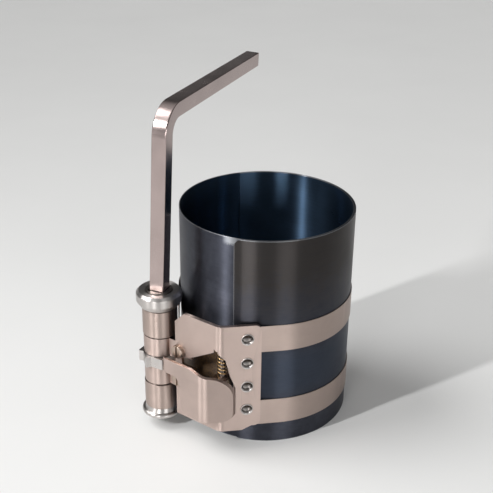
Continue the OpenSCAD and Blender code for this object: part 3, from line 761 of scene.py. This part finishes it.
class COMPRESSOR_OT_ratchet_frame(bpy.types.Operator):
    """Models the ratchet frame and the strip behind its flange."""

    bl_idname = "compressor.ratchet_frame"
    bl_label = "Ratchet frame"

    def execute(self, context):
        edge = settings().ratchet.edge_round
        for node, name in (("ratchet_frame", "frame_sheet"), ("band_anchor_strip", "anchor_plate")):
            piece = rounded_copy(node, name, edge, segments=3)
            hand_over(piece, "sleeve_and_frame", "plated_sheet", node)
        return {"FINISHED"}


class COMPRESSOR_OT_flange_rivets(bpy.types.Operator):
    """Models the tubular rivets of the flange."""

    bl_idname = "compressor.flange_rivets"
    bl_label = "Flange rivets"

    def execute(self, context):
        sizes = settings().ratchet
        rivets = 4
        wall = 0.35 * MM
        rim = 0.4 * MM
        lip = 0.2 * MM
        grime_depth = 0.1 * MM
        head = sizes.rivet_radius
        hole = sizes.rivet_hole
        shank = hole + wall
        flare = head - hole - lip
        grip = sizes.flange_face - sizes.rivet_back
        pit = sizes.sheet - grime_depth
        profile = [(0, -pit), (hole, -pit), (hole, rim - flare)]
        profile += arc((hole + flare, rim - flare), flare, 180, 90, steps=6)[1:]
        profile += arc((head - lip, rim - lip), lip, 90, 0)
        profile += [(head, 0), (shank, 0), (shank, -grip)]
        profile += [(head, -grip), (head, -grip - rim), (0, -grip - rim)]
        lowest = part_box("flange_rivets")[0].z + head
        for count in range(rivets):
            place = (sizes.flange_face, sizes.rivet_along, lowest + count * sizes.rivet_pitch)
            piece = lathe("flange_rivet_%d" % (count + 1), profile, steps=40)
            # Paints grime and shade into each rivet's hole, darker on its upper side
            mark(piece, "grime", self.grime)
            put_in_place(piece, outward_frame(flange_frame(), place))
            hand_over(piece, "sleeve_and_frame", "plated_turned", "flange_rivets")
        return {"FINISHED"}

    def grime(self, point):
        """How much dark grime and painted shade a rivet's point gets: most on the hole's upper side, which
        is -X, where the hole's shade falls.
        """
        sizes = settings().ratchet
        clean_rim = 0.3 * MM
        fall = 1.5
        least = 0.05
        if point.co.xy.length > sizes.rivet_radius - clean_rim or point.co.z < -sizes.sheet:
            return 0.0
        low_side = point.co.x / sizes.rivet_hole
        return min(max(1.0 - fall * low_side, least), 1.0)


class COMPRESSOR_OT_clamp_screws(bpy.types.Operator):
    """Models the two slotted clamp screws and their square nuts."""

    bl_idname = "compressor.clamp_screws"
    bl_label = "Clamp screws"

    def execute(self, context):
        sizes = settings().ratchet
        seat_gap = 0.05 * MM
        chamfer = 0.4 * MM
        crown = 0.5 * MM
        slot_edge = 0.1 * MM
        nut_edge = 0.25 * MM
        end = -sizes.screw_end
        shank = sizes.screw_radius
        head = sizes.screw_head
        foot = sizes.leaf_face + seat_gap
        top = foot + sizes.screw_head_height
        profile = [(0, end), (shank - chamfer, end), (shank, end + chamfer), (shank, foot), (head, foot)]
        profile += arc((head - crown, top - crown), crown, 0, 80, steps=5)
        profile += [(0, top)]
        for side in ("upper", "lower"):
            piece = lathe(side + "_screw", profile, steps=48)
            self.cut_slot(piece, top)
            round_edges(piece, slot_edge, limit=40)
            centre = Vector(JOINTS[side + "_screw_turn"]["pos_m"])
            middle = Matrix.Translation(centre - LEAF_OUT * self.reach(centre))
            put_in_place(piece, middle @ LEAF_OUT.to_track_quat("Z", "Y").to_matrix().to_4x4())
            hand_over(piece, side + "_screw", "screw_steel", side + "_clamp_screw")
            nut = rounded_copy(side + "_clamp_nut", side + "_nut", nut_edge, segments=3)
            hand_over(nut, "sleeve_and_frame", "screw_steel", side + "_clamp_nut")
        return {"FINISHED"}

    def reach(self, centre):
        """How far a point lies out of the leaf's middle plane."""
        return (centre - Vector((ARBOR_AT.x, ARBOR_AT.y, centre.z))).dot(LEAF_OUT)

    def cut_slot(self, piece, top):
        """Cuts the driver's slot with a block, half of which stands out of the head."""
        block = (0.8 * MM, 8 * MM, 1.6 * MM)
        clear_selection()
        bpy.ops.mesh.primitive_cube_add(size=1, location=(0, 0, top), scale=block)
        cutter = bpy.context.object
        make_active(piece)
        modify(piece, "BOOLEAN", operation="DIFFERENCE", solver="EXACT", object=cutter)
        bpy.data.objects.remove(cutter)


class COMPRESSOR_OT_pins(bpy.types.Operator):
    """Models the pawl's pin and the wheel's cross pin."""

    bl_idname = "compressor.pins"
    bl_label = "Pins"

    def execute(self, context):
        overhang = 0.6 * MM
        cap = 0.8 * MM
        crown = 0.35 * MM
        cross_pin_edge = 0.15 * MM
        low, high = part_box("pawl_pin")
        head = (high.x - low.x) / 2
        shank = head - overhang
        profile = [(0, low.z)] + arc((head - crown, low.z + crown), crown, -90, 0)
        profile += [(head, low.z + cap), (shank, low.z + cap), (shank, high.z - cap), (head, high.z - cap)]
        profile += arc((head - crown, high.z - crown), crown, 0, 90) + [(0, high.z)]
        piece = lathe("pawl_pivot", profile, steps=40)
        put_in_place(piece, upright_frame(PIN_AT, LEAF_ANGLE))
        hand_over(piece, "sleeve_and_frame", "arbor_steel", "pawl_pin")
        cross_pin = rounded_copy("wheel_pin", "wheel_cross_pin", cross_pin_edge)
        hand_over(cross_pin, "winding_arbor", "arbor_steel", "wheel_pin")
        return {"FINISHED"}


class COMPRESSOR_OT_arbor(bpy.types.Operator):
    """Models the arbor and its turned head and lower flange."""

    bl_idname = "compressor.arbor"
    bl_label = "Arbor"

    def execute(self, context):
        sizes = settings().arbor
        shaft = rounded_copy("arbor", "arbor_shaft", sizes.edge_round)
        hand_over(shaft, "winding_arbor", "arbor_steel", "arbor")
        bore = sizes.radius + sizes.fit
        self.turn("arbor_cap", self.head_profile(bore), "arbor_head")
        self.turn("arbor_foot", self.foot_profile(bore), "lower_flange")
        return {"FINISHED"}

    def head_profile(self, bore):
        """Half section of the head: a cone under a straight rim with a chamfered top."""
        sizes = settings().arbor
        chamfer = 1.1 * MM
        mouth = 0.5 * MM
        low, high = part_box("arbor_head")
        rim = sizes.head_radius
        shoulder = high.z - sizes.head_height
        return [(bore, low.z), (sizes.cone_radius, low.z), (rim, shoulder), (rim, high.z - chamfer),
                (rim - chamfer, high.z), (bore + mouth, high.z), (bore, high.z - mouth)]

    def foot_profile(self, bore):
        """Half section of the lower flange: a chamfered plate under a tapered neck."""
        plate = 2 * MM
        chamfer = 0.5 * MM
        neck_step = 0.4 * MM
        taper = 0.6 * MM
        low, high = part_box("lower_flange")
        rim = (high.x - low.x) / 2
        top = low.z + plate
        neck = settings().arbor.cone_radius - neck_step
        return [(bore, low.z), (rim - chamfer, low.z), (rim, low.z + chamfer), (rim, top - chamfer),
                (rim - chamfer, top), (neck, top), (neck - taper, high.z), (bore, high.z)]

    def turn(self, name, profile, node):
        """Turns a ring and hands it over."""
        piece = lathe(name, profile, steps=96, closed=True)
        round_edges(piece, settings().arbor.edge_round)
        put_in_place(piece, upright_frame(ARBOR_AT, 0))
        hand_over(piece, "winding_arbor", "plated_turned", node)


class COMPRESSOR_OT_ratchet_wheel(bpy.types.Operator):
    """Models the ratchet wheel."""

    bl_idname = "compressor.ratchet_wheel"
    bl_label = "Ratchet wheel"

    def execute(self, context):
        piece = rounded_copy("ratchet_wheel", "toothed_wheel", settings().arbor.edge_round)
        hand_over(piece, "winding_arbor", "plated_turned", "ratchet_wheel")
        return {"FINISHED"}


class COMPRESSOR_OT_band_coils(bpy.types.Operator):
    """Models the wound ends of the bands."""

    bl_idname = "compressor.band_coils"
    bl_label = "Band coils"

    def execute(self, context):
        sizes = settings().bands
        half_turn_steps = 28
        for node in ("upper_band_coil", "lower_band_coil"):
            low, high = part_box(node)
            piece = start_edge(node + "_strip", (sizes.tab_radius, 0, low.z), high.z - low.z)
            extrude((sizes.coil_radius - sizes.tab_radius, 0, 0))
            for half in range(2 * sizes.coil_turns):
                side = -1 if half % 2 == 0 else 1
                spin(half_turn_steps, HALF_TURN, (side * sizes.coil_pitch / 4, 0, 0))
            make_sheet(piece, sizes.thickness, OUTWARDS, sizes.edge_round)
            put_in_place(piece, upright_frame(ARBOR_AT, sizes.strand_angle - HALF_TURN))
            hand_over(piece, "winding_arbor", "band_steel", node)
        return {"FINISHED"}


class COMPRESSOR_OT_release_pawl(bpy.types.Operator):
    """Models the release pawl and its spring, which twists between the pawl and the frame."""

    bl_idname = "compressor.release_pawl"
    bl_label = "Release pawl"

    def execute(self, context):
        pawl_edge = 0.3 * MM
        piece = rounded_copy("release_pawl", "pawl_plate", pawl_edge, segments=3)
        hand_over(piece, "pawl", "plated_sheet", "release_pawl")
        wire = joined_copy("pawl_spring", "pawl_wire")
        modify(wire, "SUBSURF", levels=1, render_levels=1)
        smooth(wire, limit=60)
        dress(wire, "spring_wire", "pawl_spring")
        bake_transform(wire)
        return {"FINISHED"}


class COMPRESSOR_OT_key(bpy.types.Operator):
    """Models the bent square key."""

    bl_idname = "compressor.key"
    bl_label = "Square key"

    def execute(self, context):
        sizes = settings().key
        bend_steps = 24
        end_edge = 0.35 * MM
        socket = settings().arbor.socket_depth
        lean_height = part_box("arbor")[1].z - socket / 2
        foot = sizes.tip - socket / 2
        bend_foot = sizes.top - lean_height - sizes.bend_radius
        clear_selection()
        bpy.ops.mesh.primitive_plane_add(size=sizes.side, location=(0, 0, foot))
        piece = bpy.context.object
        piece.name = "bent_key"
        piece.data.name = "bent_key"
        bpy.ops.object.transform_apply(location=True, rotation=False, scale=False)
        bpy.ops.object.mode_set(mode="EDIT")
        bpy.ops.mesh.select_all(action="SELECT")
        bpy.ops.mesh.bevel(offset=sizes.edge, segments=3, affect="VERTICES")
        bpy.ops.mesh.select_all(action="SELECT")
        extrude((0, 0, bend_foot - foot))
        spin(bend_steps, QUARTER_TURN, centre=(sizes.bend_radius, 0, bend_foot), axis=(0, 1, 0))
        extrude((sizes.arm - sizes.bend_radius, 0, 0))
        close_mesh()
        round_edges(piece, end_edge, segments=3, limit=50)
        stand = Matrix.Translation((ARBOR_AT.x, ARBOR_AT.y, lean_height))
        lean = stand @ Matrix.Rotation(KEY_LEAN, 4, "Y")
        put_in_place(piece, lean @ Matrix.Rotation(sizes.heading, 4, "Z"))
        hand_over(piece, "square_key", "key_steel", "key")
        return {"FINISHED"}


class COMPRESSOR_OT_stage(bpy.types.Operator):
    """Sets the floor, the lights and the camera."""

    bl_idname = "compressor.stage"
    bl_label = "Stage"

    def execute(self, context):
        self.set_floor()
        self.set_world()
        self.set_lights()
        self.set_camera()
        context.scene.view_settings.view_transform = "Standard"
        return {"FINISHED"}

    def set_floor(self):
        """A plain pale floor."""
        clear_selection()
        foot = CAD_BOX[0].z
        bpy.ops.mesh.primitive_plane_add(size=settings().stage.floor_size, location=(0, 0, foot))
        floor = bpy.context.object
        floor.name = "studio_floor"
        shader = Shader(bpy.data.materials.new("studio floor"))
        clouds = shader.noise(shader.places(), scale=0.01)
        tint = settings().finish.floor
        base = shader.blend(clouds, shade(tint, 0.97), shade(tint, 1.03))
        floor.data.materials.append(shader.finish(base, roughness=0.7, metallic=0.0))

    def set_world(self):
        """A grey surround, pale at the horizon and overhead."""
        world = bpy.data.worlds.new("studio")
        bpy.context.scene.world = world
        shader = Shader(world)
        grey = settings().stage
        stops = [(0.0, grey.horizon), (0.08, grey.horizon), (0.21, grey.walls), (0.6, grey.walls),
                 (0.85, grey.overhead)]
        upward = shader.axes(shader.node("ShaderNodeTexCoord", output="Generated"))[2]
        tone = shader.node("ShaderNodeValToRGB", {"stops": stops}, {0: upward})
        shader.feed(shader.tree.nodes["Background"].inputs["Color"], tone)

    def set_lights(self):
        """A wide soft key light from the left and three strips that draw highlights along the metal."""
        aim = Vector((0, 0, 60 * MM))
        key_light = self.place_light("key_light", "SUN", (-0.9, 0.1, 1.2), aim, power=1.6)
        key_light.angle = math.radians(35)
        self.lamp("left_strip", (-0.663, -0.462, 0.585), aim, width=0.03, depth=0.2, power=0.95, spread=80)
        self.lamp("front_strip", (-0.333, -0.881, 0.18), aim, width=0.25, depth=0.3, power=0.28, spread=60)
        self.lamp("right_strip", (0.407, -0.914, 0.2), aim, width=0.4, depth=0.3, power=0.21, spread=60)

    def lamp(self, name, place, aim, width, depth, power, spread):
        """An area lamp that faces a point and shines in a cone, whose width is in degrees."""
        data = self.place_light(name, "AREA", place, aim, power)
        data.shape = "RECTANGLE"
        data.size = width
        data.size_y = depth
        data.spread = math.radians(spread)

    def place_light(self, name, kind, place, aim, power):
        """Adds a light that faces a point and that the camera doesn't see."""
        data = bpy.data.lights.new(name, kind)
        data.energy = power
        lamp = bpy.data.objects.new(name, data)
        lamp.visible_camera = False
        bpy.context.scene.collection.objects.link(lamp)
        lamp.location = place
        lamp.rotation_euler = (Vector(place) - aim).to_track_quat("Z", "Y").to_euler()
        return data

    def set_camera(self):
        """The camera at the photo's viewing angle."""
        sizes = settings().stage
        data = bpy.data.cameras.new("camera")
        data.sensor_width = 36
        data.lens = sizes.lens
        camera = bpy.data.objects.new("camera", data)
        bpy.context.scene.collection.objects.link(camera)
        level = Matrix.Rotation(QUARTER_TURN - sizes.camera_dip, 4, "X")
        roll = Matrix.Rotation(sizes.camera_roll, 4, "Z")
        camera.matrix_world = Matrix.Translation(sizes.camera_at) @ level @ roll
        bpy.context.scene.camera = camera


class COMPRESSOR_PT_pieces(bpy.types.Panel):
    """Lists the pieces of the compressor."""

    bl_idname = "COMPRESSOR_PT_pieces"
    bl_label = "Piston ring compressor"
    bl_space_type = "VIEW_3D"
    bl_region_type = "UI"
    bl_category = "Compressor"

    def draw(self, context):
        for operator in OPERATORS:
            self.layout.operator(operator.bl_idname)


SETTINGS = (
    SleeveSettings, BandSettings, FrameSettings, ArborSettings, KeySettings, FinishSettings, StageSettings,
    CompressorSettings,
)
OPERATORS = (
    COMPRESSOR_OT_sleeve, COMPRESSOR_OT_bands, COMPRESSOR_OT_sleeve_rivets, COMPRESSOR_OT_ratchet_frame,
    COMPRESSOR_OT_flange_rivets, COMPRESSOR_OT_clamp_screws, COMPRESSOR_OT_pins, COMPRESSOR_OT_arbor,
    COMPRESSOR_OT_ratchet_wheel, COMPRESSOR_OT_band_coils, COMPRESSOR_OT_release_pawl, COMPRESSOR_OT_key,
    COMPRESSOR_OT_stage,
)
CLASSES = SETTINGS + OPERATORS + (COMPRESSOR_PT_pieces,)


def register():
    """Registers the classes and the scene's settings."""
    for entry in CLASSES:
        bpy.utils.register_class(entry)
    bpy.types.Scene.compressor = PointerProperty(type=CompressorSettings)


def unregister():
    """Removes the settings and the classes."""
    del bpy.types.Scene.compressor
    for entry in reversed(CLASSES):
        bpy.utils.unregister_class(entry)


def main():
    """Makes every piece."""
    register()
    bpy.ops.compressor.sleeve()
    bpy.ops.compressor.bands()
    bpy.ops.compressor.sleeve_rivets()
    bpy.ops.compressor.ratchet_frame()
    bpy.ops.compressor.flange_rivets()
    bpy.ops.compressor.clamp_screws()
    bpy.ops.compressor.pins()
    bpy.ops.compressor.arbor()
    bpy.ops.compressor.ratchet_wheel()
    bpy.ops.compressor.band_coils()
    bpy.ops.compressor.release_pawl()
    bpy.ops.compressor.key()
    bpy.ops.compressor.stage()


if __name__ == "__main__":
    main()
